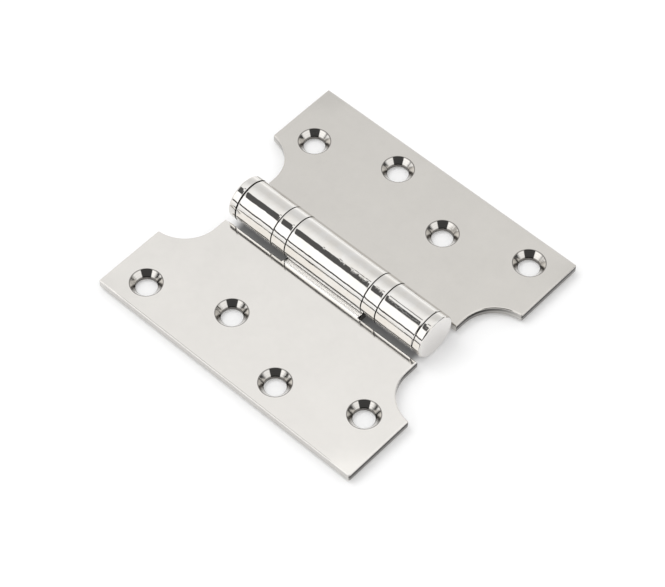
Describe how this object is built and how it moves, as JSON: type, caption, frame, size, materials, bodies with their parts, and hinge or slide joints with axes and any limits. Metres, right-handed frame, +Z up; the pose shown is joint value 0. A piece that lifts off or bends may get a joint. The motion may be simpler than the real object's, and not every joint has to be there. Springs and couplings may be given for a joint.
{
  "type": "parliament hinge",
  "caption": "Wide-throw door hinge: flat leaves with quarter-round cut-outs and staggered countersunk screw holes, joined by a rolled barrel with ball bearings.",
  "frame": {"origin": "on the surface the open hinge lies on, under the middle of the pin", "axes": "+Y along the pin towards its upper end, +X across to the jamb leaf, +Z up out of the countersunk faces"},
  "size_m": [0.1016, 0.1016, 0.0147],
  "materials": {
    "polished_leaf": "polished stainless steel sheet",
    "polished_barrel": "mirror polished stainless steel",
    "pin_steel": "ground steel",
    "hardened_race": "hardened and ground",
    "ball_steel": "lapped",
    "cage_brass": "stamped"
  },
  "bodies": {
    "jamb_side": {"jamb_leaf": "polished_leaf", "hinge_pin": "pin_steel", "upper_end_cap": "polished_barrel", "upper_bearing_shell": "polished_barrel", "upper_fixed_race": "hardened_race", "lower_end_cap": "polished_barrel", "lower_bearing_shell": "polished_barrel", "lower_fixed_race": "hardened_race"},
    "door_side": {"door_leaf": "polished_leaf", "upper_moving_race": "hardened_race", "lower_moving_race": "hardened_race"},
    "upper_ball_train": {"upper_ball_cage": "cage_brass", "upper_ball_01": "ball_steel", "upper_ball_02": "ball_steel", "upper_ball_03": "ball_steel", "upper_ball_04": "ball_steel", "upper_ball_05": "ball_steel", "upper_ball_06": "ball_steel", "upper_ball_07": "ball_steel", "upper_ball_08": "ball_steel", "upper_ball_09": "ball_steel", "upper_ball_10": "ball_steel", "upper_ball_11": "ball_steel", "upper_ball_12": "ball_steel"},
    "lower_ball_train": {"lower_ball_cage": "cage_brass", "lower_ball_01": "ball_steel", "lower_ball_02": "ball_steel", "lower_ball_03": "ball_steel", "lower_ball_04": "ball_steel", "lower_ball_05": "ball_steel", "lower_ball_06": "ball_steel", "lower_ball_07": "ball_steel", "lower_ball_08": "ball_steel", "lower_ball_09": "ball_steel", "lower_ball_10": "ball_steel", "lower_ball_11": "ball_steel", "lower_ball_12": "ball_steel"}
  },
  "joints": [
    {"name": "leaf_swing", "type": "hinge", "parent": "jamb_side", "child": "door_side", "pos_m": [0, 0, 0.00735], "axis": [0, 1, 0], "range_deg": [-95, 180]},
    {"name": "upper_balls_roll", "type": "hinge", "parent": "jamb_side", "child": "upper_ball_train", "pos_m": [0, 0.01823, 0.00735], "axis": [0, 1, 0], "range_deg": [-48, 91]},
    {"name": "lower_balls_roll", "type": "hinge", "parent": "jamb_side", "child": "lower_ball_train", "pos_m": [0, -0.01823, 0.00735], "axis": [0, 1, 0], "range_deg": [-48, 91]}
  ],
  "couplings": [
    {"joint": "upper_balls_roll", "follows": "leaf_swing", "ratio": 0.5},
    {"joint": "lower_balls_roll", "follows": "leaf_swing", "ratio": 0.5}
  ]
}
